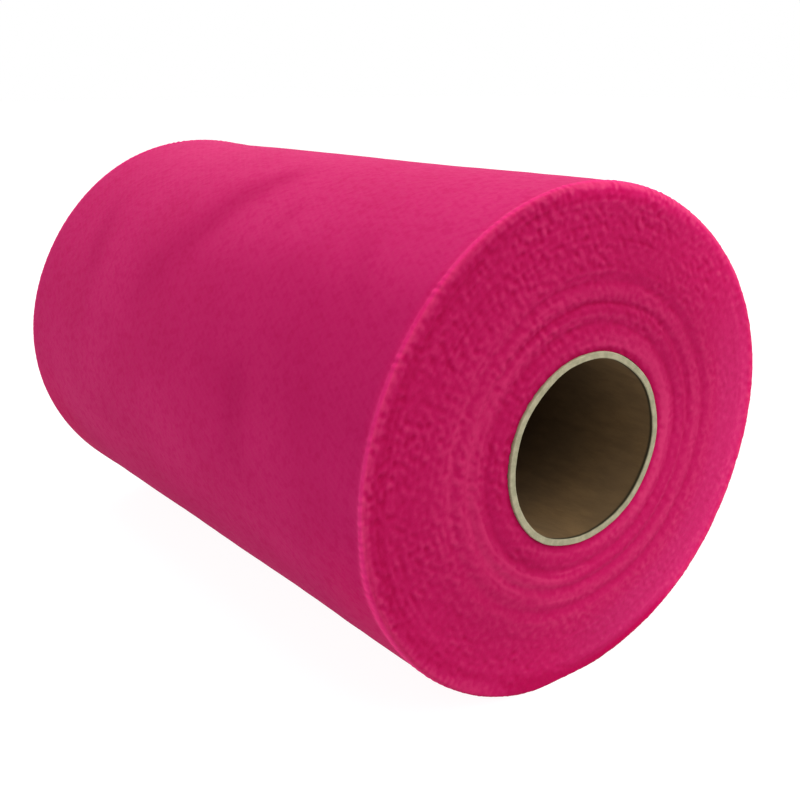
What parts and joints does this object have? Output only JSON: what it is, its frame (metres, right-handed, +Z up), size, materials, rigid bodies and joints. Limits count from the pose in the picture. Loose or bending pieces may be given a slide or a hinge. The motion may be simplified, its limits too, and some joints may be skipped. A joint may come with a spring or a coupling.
{
  "type": "roll of tulle",
  "caption": "Narrow strip of soft net wound in a thick, slightly flattened roll on a hollow cardboard tube, lying on its side.",
  "frame": {"origin": "centre of the roll's box, on the surface that it lies on", "axes": "+X along the tube towards the end face that the picture shows, +Z up"},
  "size_m": [0.1524, 0.1066, 0.0986],
  "materials": {
    "tulle": "matte",
    "core": "matte"
  },
  "bodies": {
    "root": {"tulle_roll": "tulle", "core_tube": "core"}
  },
  "joints": []
}
